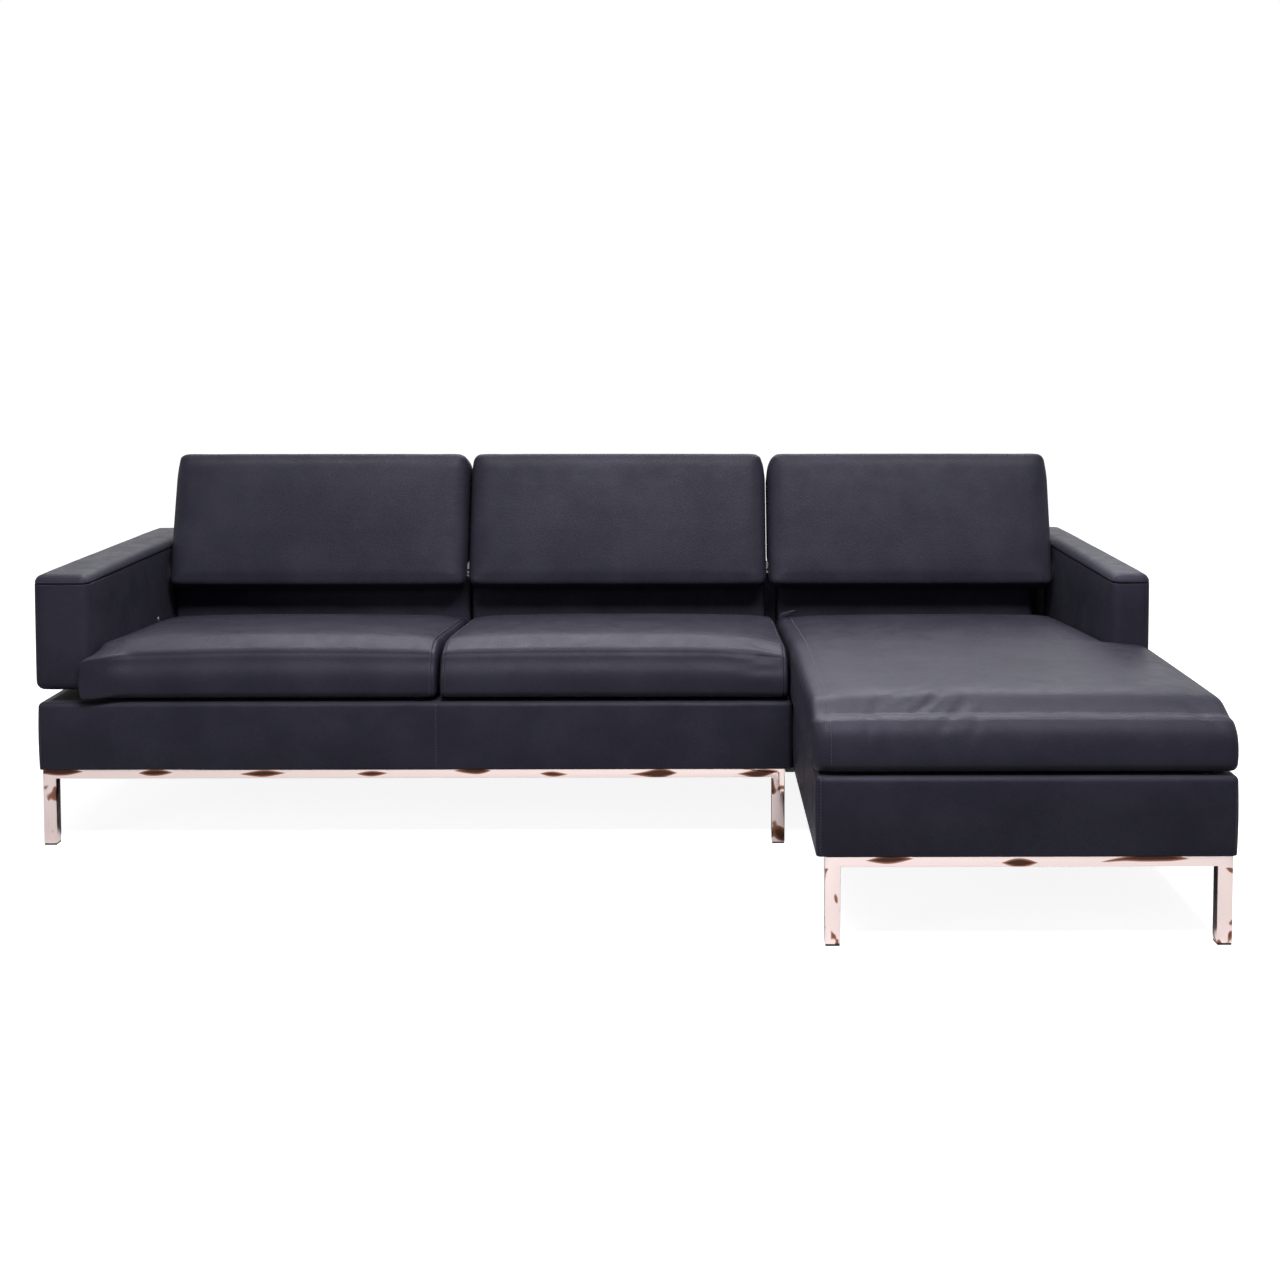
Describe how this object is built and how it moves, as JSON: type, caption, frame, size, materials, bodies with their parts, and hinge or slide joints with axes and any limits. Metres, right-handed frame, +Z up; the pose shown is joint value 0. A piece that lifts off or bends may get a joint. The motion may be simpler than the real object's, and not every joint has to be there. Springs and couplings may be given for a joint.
{
  "type": "sectional sofa",
  "caption": "Low leather sectional sofa with a chaise on the right, boxy arms held clear of the base, tilting back pads and slim polished square-tube legs.",
  "frame": {"origin": "on the floor, under the middle of the whole sofa's width and depth", "axes": "+X to the right of someone facing the sofa, +Y to its rear, +Z up; the sitter faces -Y"},
  "size_m": [2.579, 1.595, 0.8558],
  "materials": {
    "leather": "satin",
    "rose_gold": "polished",
    "steel": "satin",
    "board": "matte",
    "lining": "matte",
    "black_plastic": "matte"
  },
  "bodies": {
    "sofa": {"two_seat_front_leg_frame": "rose_gold", "two_seat_rear_leg_frame": "rose_gold", "two_seat_front_left_glide": "black_plastic", "two_seat_front_right_glide": "black_plastic", "two_seat_rear_left_glide": "black_plastic", "two_seat_rear_right_glide": "black_plastic", "two_seat_front_rail": "board", "two_seat_rear_rail": "board", "two_seat_left_rail": "board", "two_seat_right_rail": "board", "two_seat_deck": "board", "two_seat_back_frame": "board", "two_seat_dust_cover": "lining", "two_seat_base_cover": "leather", "two_seat_back_cover": "leather", "chaise_front_leg_frame": "rose_gold", "chaise_rear_leg_frame": "rose_gold", "chaise_front_left_glide": "black_plastic", "chaise_front_right_glide": "black_plastic", "chaise_rear_left_glide": "black_plastic", "chaise_rear_right_glide": "black_plastic", "chaise_front_rail": "board", "chaise_rear_rail": "board", "chaise_left_rail": "board", "chaise_right_rail": "board", "chaise_deck": "board", "chaise_back_frame": "board", "chaise_dust_cover": "lining", "chaise_base_cover": "leather", "chaise_back_cover": "leather", "two_seat_centre_rail": "board", "left_seat_cushion": "leather", "middle_seat_cushion": "leather", "chaise_cushion": "leather", "left_arm_core": "board", "left_arm_cover": "leather", "left_arm_front_bracket": "steel", "left_arm_rear_bracket": "steel", "right_arm_core": "board", "right_arm_cover": "leather", "right_arm_front_bracket": "steel", "right_arm_rear_bracket": "steel", "left_arm_cap": "black_plastic", "left_lower_back_panel": "leather", "middle_lower_back_panel": "leather", "right_lower_back_panel": "leather", "chaise_back_end_post": "steel", "unit_connector": "steel", "left_hinge_rail": "steel", "left_hinge_rod": "steel", "middle_hinge_rail": "steel", "middle_hinge_rod": "steel", "right_hinge_rail": "steel", "right_hinge_rod": "steel"},
    "left_pad": {"left_back_pad": "leather", "left_pad_plate": "steel"},
    "middle_pad": {"middle_back_pad": "leather", "middle_pad_plate": "steel"},
    "right_pad": {"right_back_pad": "leather", "right_pad_plate": "steel"}
  },
  "joints": [
    {"name": "left_pad_tilt", "type": "hinge", "parent": "sofa", "child": "left_pad", "pos_m": [-0.76275, 0.6, 0.582], "axis": [1, 0, 0], "range_deg": [-25, 15]},
    {"name": "middle_pad_tilt", "type": "hinge", "parent": "sofa", "child": "middle_pad", "pos_m": [0.03275, 0.6, 0.582], "axis": [1, 0, 0], "range_deg": [-25, 15]},
    {"name": "right_pad_tilt", "type": "hinge", "parent": "sofa", "child": "right_pad", "pos_m": [0.81875, 0.6, 0.582], "axis": [1, 0, 0], "range_deg": [-25, 15]}
  ]
}
